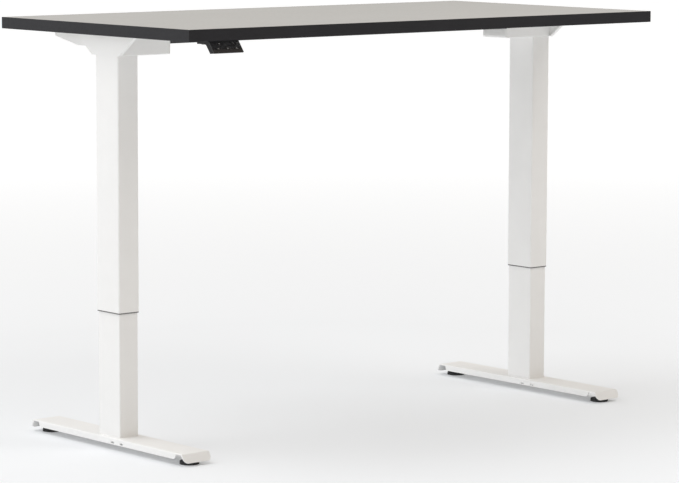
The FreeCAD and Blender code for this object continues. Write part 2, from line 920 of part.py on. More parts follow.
def inlet_y():
    """Middle of the mains inlet."""
    return control_rear - control_wall - inlet_margin - inlet_width / 2


def socket_y():
    """Middles of the sockets for the motors and the handset."""
    first = control_front + control_wall + socket_margin + socket_size / 2
    return [first + i * socket_pitch for i in range(socket_count)]


def control_window(x0, x1, y, width, height):
    """Box through an end wall of the control box, at mid height."""
    low = control_middle - height / 2
    return block(x0, x1, y - width / 2, y + width / 2, low, low + height)


def control_box():
    """Open tray of the control box: the mains inlet is in its right end, three sockets in its left."""
    half = control_length / 2
    tray = block(-half, half, control_front, control_rear, control_floor, control_top)
    upright = [edge for edge in tray.Edges if edge.BoundBox.ZLength > control_height - tiny]
    tray = tray.makeFillet(control_round, upright)
    wall = control_wall
    inside = half - wall
    hollow = block(
        -inside, inside, control_front + wall, control_rear - wall, control_floor + wall, control_top
    )
    right_end = (inside - cut_past, half + cut_past)
    left_end = (-half - cut_past, -inside + cut_past)
    cutters = [hollow, control_window(*right_end, inlet_y(), inlet_width, inlet_height)]
    for y in socket_y():
        cutters.append(control_window(*left_end, y, socket_size, socket_size))
    posts = []
    for x, y in board_post_places():
        foot_z = control_floor + wall
        posts.append(post(board_post_radius, foot_z, foot_z + board_post_height, x, y))
    return fused([tray.cut(cutters)] + posts)


def board_post_places():
    """Corners of the control board where posts carry it."""
    inset = control_wall + board_post_inset
    left = -control_length / 2 + inset
    right = control_length / 2 - inset - inlet_depth
    front = control_front + inset
    rear = control_rear - inset
    return [(left, front), (left, rear), (right, front), (right, rear)]


def control_cover_plate():
    """Cover between the tray and the top, with two screw ears at each end."""
    half = control_length / 2
    plate = block(-half, half, control_front, control_rear, control_top, underside)
    ears = []
    for x, y in control_screw_places():
        inward = x - math.copysign(control_ear, x)
        x0, x1 = sorted((x + math.copysign(control_ear / 2, x), inward))
        ears.append(block(x0, x1, y - control_ear / 2, y + control_ear / 2, control_top, underside))
    shape = fused([plate] + ears)
    holes = []
    for x, y in control_screw_places():
        holes.append(post(wood_screw_hole, control_top, underside, x, y))
    return shape.cut(holes)


def connector(back, mouth, y, width, height, wall):
    """Connector body from its back to its mouth, which is open outwards."""
    outward = math.copysign(1, mouth - back)
    x0, x1 = sorted((back, mouth))
    body = control_window(x0, x1, y, width - 2 * seat_clearance, height - 2 * seat_clearance)
    x0, x1 = sorted((mouth - outward * inlet_pit, mouth + outward * cut_past))
    return body.cut(control_window(x0, x1, y, width - 2 * wall, height - 2 * wall))


def control_board():
    """Circuit board on its posts, with a coil, a capacitor, the mains inlet and three sockets."""
    half = control_length / 2
    reach = half - control_wall - board_gap
    front = control_front + control_wall + board_gap
    rear = control_rear - control_wall - board_gap
    bottom = control_floor + control_wall + board_post_height
    top = bottom + board_thickness
    board_end = reach - inlet_depth
    pieces = [
        block(-reach, board_end, front, rear, bottom, top),
        post(coil_radius, top, top + coil_height, coil_x, control_front + coil_setback),
    ]
    y0, y1 = [control_front + setback for setback in capacitor_setback]
    pieces.append(block(*capacitor_x, y0, y1, top, top + capacitor_height))
    pieces.append(connector(board_end, half, inlet_y(), inlet_width, inlet_height, inlet_wall))
    for y in socket_y():
        pieces.append(connector(-half + socket_depth, -half, y, socket_size, socket_size, socket_wall))
    return fused(pieces)


# ---- handset ------------------------------------------------------------------------------------

face_length = math.hypot(face_lean, face_rise)
face_foot_y = -top_depth / 2 + handset_setback
face_foot_z = underside - handset_drop
face_up = Vector(0, face_lean / face_length, face_rise / face_length)
face_out = Vector(0, -face_rise / face_length, face_lean / face_length)


def on_face(across, up, out):
    """Point on the handset's face: across from its left side, up the slope and out from the surface."""
    origin = Vector(-top_length / 2 + handset_left, face_foot_y, face_foot_z)
    return origin + Vector(across, 0, 0) + face_up * up + face_out * out


def face_block(across, up, width, height, out0, out1, corner):
    """Rounded block square to the face, centred at (across, up), between two depths."""
    points = []
    for sx, sy in ((-1, -1), (1, -1), (1, 1), (-1, 1)):
        points.append(on_face(across + sx * width / 2, up + sy * height / 2, out0))
    return Part.Face(outline(points, [corner] * 4)).extrude(face_out * (out1 - out0))


def button_places():
    """Names and centres of the six buttons, as (across, up) on the face."""
    places = {}
    for name, across in zip(("button_timer", "button_up", "button_down"), top_row_across):
        places[name] = (across, top_row_rise)
    for number, across in enumerate(bottom_row_across, 1):
        places["button_memory_" + str(number)] = (across, bottom_row_rise)
    return places


def handset_section():
    """Side view of the handset body and its flange, as (y, z) points."""
    floor_z = underside - handset_floor_drop
    floor_y = face_foot_y + handset_floor
    shoulder_y = floor_y + handset_back_run
    shoulder_z = floor_z + handset_back_rise
    flange_y = -top_depth / 2 + handset_flange_end
    return [
        (face_foot_y, face_foot_z),
        (floor_y, floor_z),
        (shoulder_y, shoulder_z),
        (shoulder_y + shoulder_run, underside - handset_flange),
        (flange_y, underside - handset_flange),
        (flange_y, underside),
        (face_foot_y + face_lean, underside),
        (face_foot_y + face_lean, face_foot_z + face_rise),
    ]


def handset_shell():
    """Moulded body behind the face plate, hollow behind the buttons, with its mounting flange."""
    left = -top_length / 2 + handset_left
    right = left + handset_width
    radii = [0, handset_heel, handset_shoulder, flange_root, flange_edge, 0, 0, 0]
    body = prism_x(handset_section(), radii, left, right)
    middle = handset_width / 2
    plate_space = face_block(
        middle,
        face_length / 2,
        handset_width + 2 * cut_past,
        face_length + 2 * cut_past,
        -face_thickness,
        cut_past,
        0,
    )
    cavity = face_block(
        middle,
        (cavity_low + cavity_high) / 2,
        handset_width - 2 * handset_wall,
        cavity_high - cavity_low,
        -face_thickness - cavity_depth,
        -face_thickness,
        cavity_corner,
    )
    cutters = [plate_space, cavity]
    for x, y in handset_screw_places():
        cutters.append(post(wood_screw_hole, underside - handset_flange - cut_past, underside, x, y))
    return body.cut(cutters)


def handset_face():
    """Face plate with a window and six button holes."""
    plate = face_block(
        handset_width / 2,
        face_length / 2,
        handset_width,
        face_length,
        -face_thickness,
        0,
        handset_corner,
    )
    cutters = [
        face_block(
            display_centre,
            display_rise,
            display_width + 2 * seat_clearance,
            display_height + 2 * seat_clearance,
            -display_thickness,
            cut_past,
            display_corner,
        )
    ]
    for across, up in button_places().values():
        width = button_width + 2 * button_gap
        height = button_height + 2 * button_gap
        low = -face_thickness - cut_past
        cutters.append(face_block(across, up, width, height, low, cut_past, button_corner + button_gap))
    return plate.cut(cutters)


def display_window():
    """Clear window let into the face plate."""
    return face_block(
        display_centre,
        display_rise,
        display_width,
        display_height,
        -display_thickness,
        0,
        display_corner - seat_clearance,
    )


def button(across, up):
    """Button cap with a retaining rim behind the face plate."""
    bottom = -face_thickness - button_gap - button_rim
    cap = face_block(across, up, button_width, button_height, bottom, button_proud, button_corner)
    rim = face_block(
        across,
        up,
        button_width + 2 * button_gap + button_rim,
        button_height + 2 * button_gap + button_rim,
        bottom,
        bottom + button_rim,
        button_corner,
    )
    return fused([cap, rim])


# ---- wood screws --------------------------------------------------------------------------------


def side_screw_places():
    """Screws of one side plate, about the column centre."""
    x = -box_outer_end - side_sheet + side_screw_x
    return [(x, side * y) for side in (-1, 1) for y in side_screw_y]


def arm_screw_places():
    """Screws of one rear arm, about the column centre."""
    x = -arm_outer + arm_width / 2
    return [(x, box_depth / 2 + y) for y in arm_screw_y]


def rail_screw_places(side):
    """Screws of one rail, spread along it."""
    y = side * (rail_face_y - rail_depth / 2)
    reach = rail_half_length - rail_entry - rail_screw_end
    step = 2 * reach / (rail_screws - 1)
    return [(-reach + i * step, y) for i in range(rail_screws)]


def control_screw_places():
    """Screws of the control box ears."""
    x = control_length / 2 + control_ear / 2
    front = control_front + control_ear
    rear = control_rear - control_ear
    return [(-x, front), (-x, rear), (x, front), (x, rear)]


def handset_screw_places():
    """Two screws through the handset's flange."""
    left = -top_length / 2 + handset_left
    right = left + handset_width
    y = -top_depth / 2 + handset_flange_end - handset_screw_setback
    return [(left + handset_screw_inset, y), (right - handset_screw_inset, y)]


def wood_screw_places():
    """Every wood screw as (x, y, height of the face under its head)."""
    places = []
    for side in (-1, 1):
        for x, y in side_screw_places():
            places.append((side * (leg_x - x), y, underside - side_sheet))
        for x, y in arm_screw_places():
            places.append((side * (leg_x - x), y, underside - arm_sheet))
        for x, y in rail_screw_places(side):
            places.append((x, y, underside - rail_wall))
    for x, y in control_screw_places():
        places.append((x, y, control_top))
    for x, y in handset_screw_places():
        places.append((x, y, underside - handset_flange))
    return places


def top_screws():
    """All wood screws as one group, heads down."""
    screws = []
    for x, y, z in wood_screw_places():
        head = post(wood_screw_head_radius, z - wood_screw_head, z, x, y)
        screws.append(fused([head, post(wood_screw_radius, z, z + wood_screw_length, x, y)]))
    return Part.Compound(screws)


# ---- put the desk together ----------------------------------------------------------------------


def placed(shape, side):
    """Move a leg's shape to its place: the left leg as built, the right one mirrored."""
    if side == "left":
        return moved(shape, -leg_x, 0, 0)
    return moved(shape.mirror(Vector(0, 0, 0), Vector(1, 0, 0)), leg_x, 0, 0)


def same_way_round(shape, side):
    """Move a shape to its leg without mirroring it: both feet are the same part."""
    if side == "left":
        return moved(shape, -leg_x, 0, 0)
    return moved(shape, leg_x, 0, 0)


def leg_nodes(side):
    """All nodes of one leg."""
    nodes = {
        "foot_" + side: same_way_round(foot(), side),
        "foot_screws_" + side: same_way_round(foot_screws(), side),
        "inner_tube_" + side: placed(inner_tube(), side),
        "column_guide_" + side: placed(column_guide(), side),
        "spindle_nut_" + side: placed(spindle_nut(), side),
        "spindle_" + side: placed(spindle(), side),
        "worm_wheel_" + side: placed(worm_wheel(), side),
        "worm_shaft_" + side: placed(worm_shaft(), side),
        "outer_tube_" + side: placed(outer_tube(), side),
        "drive_box_" + side: placed(drive_box(), side),
        "box_end_cap_" + side: placed(box_end_cap(), side),
        "side_plate_" + side: placed(side_plate(), side),
        "rear_arm_" + side: placed(rear_arm(), side),
        "gearbox_case_" + side: placed(gearbox_case(), side),
        "motor_" + side: placed(motor(), side),
    }
    for end, y in (("front", -leveller_y), ("rear", leveller_y)):
        nodes["leveller_pad_" + end + "_" + side] = placed(leveller_pad(y), side)
        nodes["leveller_stud_" + end + "_" + side] = placed(leveller_stud(y), side)
    return nodes


def both_legs(shapes):
    """Group of the given leg shapes at both columns."""
    return Part.Compound([placed(shape, side) for side in ("left", "right") for shape in shapes])


def desk_nodes():
    """Every node of the desk by name."""
    nodes = {}
    for side in ("left", "right"):
        nodes.update(leg_nodes(side))
    nodes["guide_collars"] = both_legs([guide_collar()])
    nodes["gearbox_covers"] = both_legs([gearbox_cover()])
    nodes["spindle_bearings"] = both_legs([spindle_bearing()])
    nodes["drive_screws"] = both_legs(drive_screws())
    nodes["top_core"] = top_core()
    nodes["top_laminate"] = top_laminate()
    nodes["edge_band"] = edge_band()
    nodes["cross_rail_front"] = cross_rail(-1)
    nodes["cross_rail_rear"] = cross_rail(1)
    nodes["top_screws"] = top_screws()
    nodes["control_box"] = control_box()
    nodes["control_box_cover"] = control_cover_plate()
    nodes["control_board"] = control_board()
    nodes["handset_shell"] = handset_shell()
    nodes["handset_face"] = handset_face()
    nodes["display_window"] = display_window()
    for name, (across, up) in button_places().items():
        nodes[name] = button(across, up)
    return nodes


os.makedirs("parts", exist_ok=True)
for node_name, node_shape in desk_nodes().items():
    node_shape.exportStep("parts/" + node_name + ".step")
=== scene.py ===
import json
import math

import bmesh
import bpy
from mathutils import Matrix, Vector

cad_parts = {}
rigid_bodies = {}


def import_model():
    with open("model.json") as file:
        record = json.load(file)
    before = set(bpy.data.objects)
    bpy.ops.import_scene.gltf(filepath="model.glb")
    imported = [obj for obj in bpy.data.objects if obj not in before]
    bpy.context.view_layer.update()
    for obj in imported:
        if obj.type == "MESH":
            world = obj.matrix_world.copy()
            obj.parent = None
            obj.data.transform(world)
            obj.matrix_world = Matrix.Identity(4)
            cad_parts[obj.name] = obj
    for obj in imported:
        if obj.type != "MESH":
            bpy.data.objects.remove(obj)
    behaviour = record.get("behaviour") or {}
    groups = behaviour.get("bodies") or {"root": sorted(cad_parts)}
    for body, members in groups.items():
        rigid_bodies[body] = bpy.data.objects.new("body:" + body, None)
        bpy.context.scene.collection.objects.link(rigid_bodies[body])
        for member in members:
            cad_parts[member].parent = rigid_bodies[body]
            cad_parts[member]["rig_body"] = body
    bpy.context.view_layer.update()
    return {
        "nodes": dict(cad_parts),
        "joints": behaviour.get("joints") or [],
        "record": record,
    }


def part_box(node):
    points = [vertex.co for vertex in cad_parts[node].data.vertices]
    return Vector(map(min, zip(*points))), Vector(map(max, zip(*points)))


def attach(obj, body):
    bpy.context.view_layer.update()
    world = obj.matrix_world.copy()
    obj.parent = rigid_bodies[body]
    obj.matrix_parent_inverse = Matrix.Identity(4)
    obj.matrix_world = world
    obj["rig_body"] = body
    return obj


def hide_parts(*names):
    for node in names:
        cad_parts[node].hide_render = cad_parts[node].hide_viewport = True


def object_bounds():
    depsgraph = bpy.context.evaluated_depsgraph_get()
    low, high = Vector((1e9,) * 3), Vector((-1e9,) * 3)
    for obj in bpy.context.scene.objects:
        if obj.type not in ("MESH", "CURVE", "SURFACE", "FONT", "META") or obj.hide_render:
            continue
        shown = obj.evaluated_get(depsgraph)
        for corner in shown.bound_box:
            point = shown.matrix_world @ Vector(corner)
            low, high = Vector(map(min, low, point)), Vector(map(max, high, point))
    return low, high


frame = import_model()
nodes = frame["nodes"]

# The looks of a height adjustable desk. Lengths are in metres, angles in degrees.
# The desk's left end is towards -X and its user sits on the -Y side.

# ---- camera and light ---------------------------------------------------------------------------

CAMERA_PLACE = Vector((-5.0923, -6.0029, 1.4028))
CAMERA_YAW = 40.412              # from +Y towards +X
CAMERA_PITCH = 6.928             # downwards
CAMERA_ROLL = 0.168
CAMERA_LENS = 165.99             # millimetres, on a sensor 36 mm wide
SENSOR_WIDTH = 36.0

WORLD_BRIGHT_SIDE = Vector((-0.72, 0.52, 0.46))
WORLD_STRENGTH = 1.15
WORLD_RAMP = [                   # colours from the dark side to the bright side
    (0.00, (0.20, 0.14, 0.08)),
    (0.30, (0.27, 0.208, 0.138)),
    (0.55, (0.58, 0.555, 0.52)),
    (0.78, (0.82, 0.82, 0.82)),
    (1.00, (1.00, 1.00, 1.00)),
]
KEY_PLACE = Vector((-2.2, 1.6, 5.0))
KEY_SIZE = 3.2
KEY_POWER = 60.0
FILL_PLACE = Vector((1.6, -2.5, 3.4))
FILL_AIM = Vector((1.1, -1.9, 0.0))
FILL_SIZE = 2.5
FILL_POWER = 40.0
FLOOR_RADIUS = 60.0
FLOOR_SIDES = 96
FLOOR_COLOUR = (0.765, 0.785, 0.81)
FLOOR_GLOW_NEAR = 0.14
FLOOR_GLOW_FAR = 0.42            # so that the floor fades into white
FLOOR_GLOW_START = 1.6           # from the middle of the floor
FLOOR_GLOW_END = 7.0

# ---- sizes of the details -----------------------------------------------------------------------

MM = 0.001
SMOOTH_ANGLE = 32.0              # edges sharper than this stay sharp
WELD_DISTANCE = 1e-6
RING_COUNT = 48                  # points round a turned piece
BEVEL_SEGMENTS = 2
FACE_WEIGHT = 80                 # 50 is neutral, more lets large faces rule the shading

WHITE_BEVEL = 0.6 * MM
TUBE_BEVEL = 0.35 * MM
EDGE_BAND_BEVEL = 0.9 * MM
PLASTIC_BEVEL = 0.3 * MM

# Screws
RECESS_FLOOR_SHARE = 0.82        # size of the recess at its floor, against its mouth
RECESS_RIM_DEPTH = 0.1 * MM
RECESS_RIM_SPREAD = 0.12 * MM
CROWN_SHARE = 0.35               # of the head's height
CROWN_PROFILE = [(0.0, 0.72), (0.4, 0.88), (1.0, 0.98), (1.5, 1.0)]    # shares of crown and head radius
HEAD_EDGE = 0.1 * MM
SCREW_TIP_LENGTH = 0.5 * MM
SCREW_TIP_SHARE = 0.7            # of the shank's radius
TOP_SCREW_HEAD = 2.2 * MM
TOP_SCREW_SHANK = 2.0 * MM
TOP_SCREW_CROSS = 2.3 * MM
TOP_SCREW_CROSS_HALF_WIDTH = 0.5 * MM
TOP_SCREW_RECESS_DEPTH = 1.5 * MM
FOOT_SCREW_HEAD = 3.5 * MM
FOOT_SCREW_SHANK = 3.0 * MM
FOOT_SCREW_HEXAGON = 4.0 * MM    # across flats
FOOT_SCREW_RECESS_DEPTH = 2.2 * MM

# Threads
THREAD_SLOPE = 4                 # of the flanks, as a share of the depth over a pitch
THREAD_OFFSET = 0.5              # with that slope, root, crest and each flank take a quarter of a pitch
STUD_RADIUS = 4.0 * MM
STUD_HEXAGON_HEIGHT = 4.0 * MM
STUD_CHAMFER = 0.6 * MM          # of the hexagon and of the thread's tip
STUD_TIP_SHARE = 0.75            # of the radius
STUD_PITCH = 1.25 * MM
STUD_THREAD_DEPTH = 0.6 * MM
STUD_THREAD_STEPS = 6            # rings for each turn
STUD_SIDES = 36
SPINDLE_THREAD_DEPTH = 0.7 * MM
SPINDLE_STARTS = 4
SPINDLE_STEP = 0.9 * MM          # from ring to ring
SPINDLE_SIDES = 24
SPINDLE_PLAIN_END = 10 * MM      # below the outer tube's top

# Handset
ICON_HEIGHT = 0.12 * MM          # printed marks stand this proud
ICON_STROKE = 0.42 * MM
MITRE_LIMIT = 0.4                # keeps the corners of a stroke from growing too far
DIGIT_WIDTH = 2.6                # this and the next three in millimetres, as the marks are
DIGIT_HEIGHT = 4.6
DIGIT_PITCH = 5.2
DIGIT_GAP = 0.22                 # at both ends of a segment
DIGIT_STROKE = 0.5 * MM
DIGIT_RISE = 0.03 * MM           # of the segments over the window's surface

# Control box
INLET_FROM_REAR = 20.5 * MM
PIN_FROM_INLET_FACE = 6.5 * MM   # to the middle of the pins
PIN_ASIDE = 7.0 * MM
PIN_UP = 2.5 * MM
PIN_HALF_SIZE = Vector((6.0, 2.0, 1.0)) * MM
PIN_BEVEL = 0.35 * MM
RIB_COUNT = 17
RIB_END_MARGIN = 40 * MM
RIB_SIDE_MARGIN = 16 * MM
RIB_HALF_WIDTH = 1.2 * MM
RIB_HEIGHT = 0.9 * MM
RIB_ROOT = 0.3 * MM              # reaches into the tray's floor
RIB_BEVEL = 0.4 * MM
BOARD_BOTTOM = 8.4 * MM          # over the underside of the control box
BOARD_TOP = 10.2 * MM
BOARD_BLEND = 0.1 * MM           # over which the colour changes from board to bodies


# ---- small helpers ------------------------------------------------------------------------------


def span(name, direction):
    """Lowest and highest place of a node along a direction."""
    along = [vertex.co.dot(direction) for vertex in nodes[name].data.vertices]
    return min(along), max(along)


def islands(name):
    """Boxes (low corner, high corner) of a node's separate solids, in a fixed order."""
    shape = bmesh.new()
    shape.from_mesh(nodes[name].data)
    bmesh.ops.remove_doubles(shape, verts=shape.verts, dist=WELD_DISTANCE)
    left = set(shape.verts)
    boxes = []
    while left:
        stack = [left.pop()]
        found = list(stack)
        while stack:
            for edge in stack.pop().link_edges:
                for vertex in edge.verts:
                    if vertex in left:
                        left.remove(vertex)
                        stack.append(vertex)
                        found.append(vertex)
        low = Vector([min(vertex.co[i] for vertex in found) for i in range(3)])
        high = Vector([max(vertex.co[i] for vertex in found) for i in range(3)])
        boxes.append((low, high))
    shape.free()
    return sorted(boxes, key=lambda pair: [round(value, 5) for value in pair[0]])


def piece(name, shape, like, slot, bevel=0.0, stands_for=()):
    """Object from a finished bmesh, riding on the body of the CAD node it goes with."""
    bmesh.ops.recalc_face_normals(shape, faces=shape.faces)
    mesh = bpy.data.meshes.new(name)
    shape.to_mesh(mesh)
    shape.free()
    mesh.shade_smooth()
    mesh.set_sharp_from_angle(angle=math.radians(SMOOTH_ANGLE))
    mesh.materials.append(materials[slot])
    made = bpy.data.objects.new(name, mesh)
    bpy.context.scene.collection.objects.link(made)
    if bevel:
        add_bevel(made, bevel)
    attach(made, nodes[like]["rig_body"])
    if stands_for:
        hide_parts(*stands_for)


def add_bevel(target, width):
    """Small rounding on every sharp edge."""
    bevel = target.modifiers.new("soft_edges", "BEVEL")
    bevel.width = width
    bevel.segments = BEVEL_SEGMENTS
    bevel.limit_method = "ANGLE"
    bevel.angle_limit = math.radians(SMOOTH_ANGLE)
    bevel.use_clamp_overlap = True
    bevel.harden_normals = True


def soften(name, width):
    """Rounded edges on a CAD node."""
    target = nodes[name]
    weld = target.modifiers.new("joined_corners", "WELD")
    weld.merge_threshold = WELD_DISTANCE
    add_bevel(target, width)
    normals = target.modifiers.new("even_shading", "WEIGHTED_NORMAL")
    normals.keep_sharp = False
    normals.weight = FACE_WEIGHT


def loft(shape, rings):
    """Skin over rings of points, closed at both ends."""
    made = [[shape.verts.new(point) for point in ring] for ring in rings]
    count = len(made[0])
    for lower, upper in zip(made, made[1:]):
        for i in range(count):
            following = (i + 1) % count
            shape.faces.new((lower[i], lower[following], upper[following], upper[i]))
    shape.faces.new(made[0])
    shape.faces.new(made[-1])


def turned(shape, x, y, sections, count=RING_COUNT):
    """Solid round an upright axis from (height, radius) pairs; a radius may be a function of angle."""
    rings = []
    for z, radius in sections:
        ring = []
        for i in range(count):
            angle = 2 * math.pi * i / count
            reach = radius(angle) if callable(radius) else radius
            ring.append(Vector((x + reach * math.cos(angle), y + reach * math.sin(angle), z)))
        rings.append(ring)
    loft(shape, rings)


def hexagon(across_flats):
    """Radius of a hexagon as a function of angle."""
    sixth = math.pi / 3
    return lambda angle: across_flats / 2 / math.cos((angle + sixth / 2) % sixth - sixth / 2)


def cross(reach, half_width):
    """Radius of a cross recess as a function of angle."""
    def radius(angle):
        nearest = min(abs(math.sin(angle)), abs(math.cos(angle)))
        return reach if nearest * reach < half_width else half_width / nearest
    return radius


# ---- materials ----------------------------------------------------------------------------------


class Paint:
    """One procedural material, with the nodes that most of them share."""

    def __init__(self, name, roughness, metallic=0.0, specular=0.5):
        self.material = bpy.data.materials.new(name)
        self.material.use_nodes = True
        self.tree = self.material.node_tree
        self.shader = self.tree.nodes["Principled BSDF"]
        self.shader.inputs["Roughness"].default_value = roughness
        self.shader.inputs["Metallic"].default_value = metallic
        self.shader.inputs["Specular IOR Level"].default_value = specular
        self.place = self.node("ShaderNodeTexCoord").outputs["Object"]

    def node(self, kind):
        return self.tree.nodes.new(kind)

    def link(self, source, target):
        self.tree.links.new(source, target)

    def stretched(self, scale):
        """Object coordinates scaled along each axis."""
        mapping = self.node("ShaderNodeMapping")
        mapping.inputs["Scale"].default_value = scale
        self.link(self.place, mapping.inputs["Vector"])
        return mapping.outputs["Vector"]

    def noise(self, scale, detail=3.0, rough=0.5, place=None):
        texture = self.node("ShaderNodeTexNoise")
        texture.inputs["Scale"].default_value = scale
        texture.inputs["Detail"].default_value = detail
        texture.inputs["Roughness"].default_value = rough
        self.link(place or self.place, texture.inputs["Vector"])
        return texture.outputs["Fac"]

    def between(self, value, low, high, start=0.3, stop=0.7):
        """Map a value that runs from start to stop onto low to high."""
        mapped = self.node("ShaderNodeMapRange")
        mapped.inputs["From Min"].default_value = start
        mapped.inputs["From Max"].default_value = stop
        mapped.inputs["To Min"].default_value = low
        mapped.inputs["To Max"].default_value = high
        self.link(value, mapped.inputs["Value"])
        return mapped.outputs["Result"]

    def mixed(self, value, first, second):
        """Colour between two colours or colour outputs."""
        mix = self.node("ShaderNodeMix")
        mix.data_type = "RGBA"
        self.link(value, mix.inputs["Factor"])
        for end, colour in (("A", first), ("B", second)):
            socket = [s for s in mix.inputs if s.name == end and s.type == "RGBA"][0]
            if isinstance(colour, tuple):
                socket.default_value = (*colour, 1.0)
            else:
                self.link(colour, socket)
        return [s for s in mix.outputs if s.type == "RGBA"][0]

    def colour(self, source):
        self.link(source, self.shader.inputs["Base Color"])

    def roughness(self, source):
        self.link(source, self.shader.inputs["Roughness"])

    def bump(self, height, distance, below=None):
        """Relief, laid over the relief below it when there is one."""
        bump = self.node("ShaderNodeBump")
        bump.inputs["Distance"].default_value = distance
        bump.inputs["Strength"].default_value = 1.0
        self.link(height, bump.inputs["Height"])
        if below:
            self.link(below, bump.inputs["Normal"])
        self.link(bump.outputs["Normal"], self.shader.inputs["Normal"])
        return bump.outputs["Normal"]


def shade(colour, factor):
    """A colour made lighter or darker."""
    return tuple(min(channel * factor, 1.0) for channel in colour)


def clouded(name, colour, roughness, spread, specular=0.5):
    """Surface with cloudy tone and uneven gloss, still without relief."""
    paint = Paint(name, roughness, specular=specular)
    cloud = paint.between(paint.noise(14.0, 4.0), 0, 1)
    paint.colour(paint.mixed(cloud, shade(colour, 1 - spread), shade(colour, 1 + spread)))
    paint.roughness(paint.between(paint.noise(60.0, 5.0), roughness * 0.85, roughness * 1.15))
    return paint


def coated(name, colour, roughness, grain, depth, spread=0.03, specular=0.5):
    """Clouded surface with a fine grain: paint, mouldings and rubber."""
    paint = clouded(name, colour, roughness, spread, specular)
    paint.bump(paint.noise(grain, 2.0), depth)
    return paint.material


def white_powder_coat():
    """Satin powder coat with fine orange peel."""
    paint = clouded("white_powder_coat", (0.87, 0.868, 0.86), roughness=0.46, spread=0.012)
    peel = paint.bump(paint.noise(420.0, 1.0), 0.00006)
    paint.bump(paint.noise(2600.0, 2.0), 0.000025, peel)
    return paint.material


def brushed(name, colour, roughness, stretch):
    """Metal with fine lines along one axis."""
    paint = Paint(name, roughness, metallic=1.0)
    lines = paint.noise(1.0, 4.0, 0.6, paint.stretched(stretch))
    cloud = paint.noise(40.0, 3.0)
    tone = paint.mixed(paint.between(cloud, 0, 1), shade(colour, 0.9), shade(colour, 1.08))
    paint.colour(paint.mixed(paint.between(lines, 0, 0.35), tone, shade(colour, 0.7)))
    paint.roughness(paint.between(lines, roughness * 0.75, roughness * 1.3))
    paint.bump(lines, 0.00002)
    return paint.material


def grey_laminate():
    """Warm grey decor sheet: faint mottling, fine specks and a shallow pearl finish."""
    base = (0.452, 0.449, 0.436)
    paint = Paint("grey_laminate", roughness=0.48)
    cloud = paint.between(paint.noise(5.0, 5.0, 0.6), 0, 1)
    tone = paint.mixed(cloud, shade(base, 0.985), shade(base, 1.015))
    specks = paint.node("ShaderNodeTexVoronoi")
    specks.inputs["Scale"].default_value = 900.0
    paint.link(paint.place, specks.inputs["Vector"])
    dots = paint.between(specks.outputs["Distance"], 0.35, 0.0, 0.05, 0.3)
    paint.colour(paint.mixed(dots, tone, shade(base, 0.9)))
    paint.roughness(paint.between(paint.noise(90.0, 5.0), 0.42, 0.54))
    pearl = paint.bump(paint.noise(1100.0, 2.0), 0.00004)
    paint.bump(paint.noise(230.0, 1.0), 0.00003, pearl)
    return paint.material


def black_edge_band():
    """Satin plastic strip with fine lines along its length."""
    base = (0.012, 0.012, 0.0145)
    paint = Paint("black_edge_band", roughness=0.4, specular=0.25)
    lines = paint.noise(1.0, 3.0, 0.6, paint.stretched((30.0, 30.0, 3200.0)))
    cloud = paint.noise(9.0, 4.0)
    tone = paint.mixed(paint.between(cloud, 0, 1), shade(base, 0.85), shade(base, 1.2))
    paint.colour(paint.mixed(paint.between(lines, 0, 0.5), tone, shade(base, 1.5)))
    paint.roughness(paint.between(paint.noise(120.0, 4.0), 0.34, 0.5))
    paint.bump(lines, 0.00004)
    return paint.material


def particle_board():
    """Pressed chips, with a pale backing sheet on the board's underside."""
    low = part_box("top_core")[0].z
    sheet = 0.4 * MM
    paint = Paint("particle_board", roughness=0.8)
    chips = paint.node("ShaderNodeTexVoronoi")
    chips.inputs["Scale"].default_value = 1.0
    paint.link(paint.stretched((170.0, 260.0, 700.0)), chips.inputs["Vector"])
    wood = paint.mixed(chips.outputs["Color"], (0.50, 0.36, 0.21), (0.68, 0.54, 0.36))
    cloud = paint.between(paint.noise(7.0, 5.0), 0, 1)
    backing = paint.mixed(cloud, (0.47, 0.465, 0.45), (0.51, 0.505, 0.49))
    split = paint.node("ShaderNodeSeparateXYZ")
    paint.link(paint.place, split.inputs["Vector"])
    inside = paint.between(split.outputs["Z"], 0, 1, low + sheet * 0.9, low + sheet)
    paint.colour(paint.mixed(inside, backing, wood))
    paint.roughness(paint.between(paint.noise(100.0, 4.0), 0.6, 0.85))
    paint.bump(paint.noise(700.0, 3.0), 0.00006)
    return paint.material


def gloss_black():
    """Polished black moulding with the faint haze of handling."""
    paint = Paint("gloss_black", roughness=0.12, specular=0.4)
    smears = paint.noise(1.0, 6.0, 0.7, paint.stretched((60.0, 110.0, 110.0)))
    base = (0.012, 0.012, 0.014)
    paint.colour(paint.mixed(paint.between(smears, 0, 1), base, shade(base, 1.5)))
    paint.roughness(paint.between(smears, 0.08, 0.26))
    paint.shader.inputs["Coat Weight"].default_value = 0.15
    paint.shader.inputs["Coat Roughness"].default_value = 0.06
    paint.bump(paint.noise(35.0, 2.0), 0.00004)
    return paint.material


def display_glass():
    """Smoked window."""
    paint = Paint("display_glass", roughness=0.05)
    haze = paint.noise(180.0, 4.0)
    paint.colour(paint.mixed(paint.between(haze, 0, 1), (0.012, 0.013, 0.016), (0.02, 0.021, 0.025)))
    paint.roughness(paint.between(haze, 0.03, 0.1))
    paint.shader.inputs["Coat Weight"].default_value = 1.0
    paint.shader.inputs["Coat Roughness"].default_value = 0.02
    paint.bump(haze, 0.00001)
    return paint.material


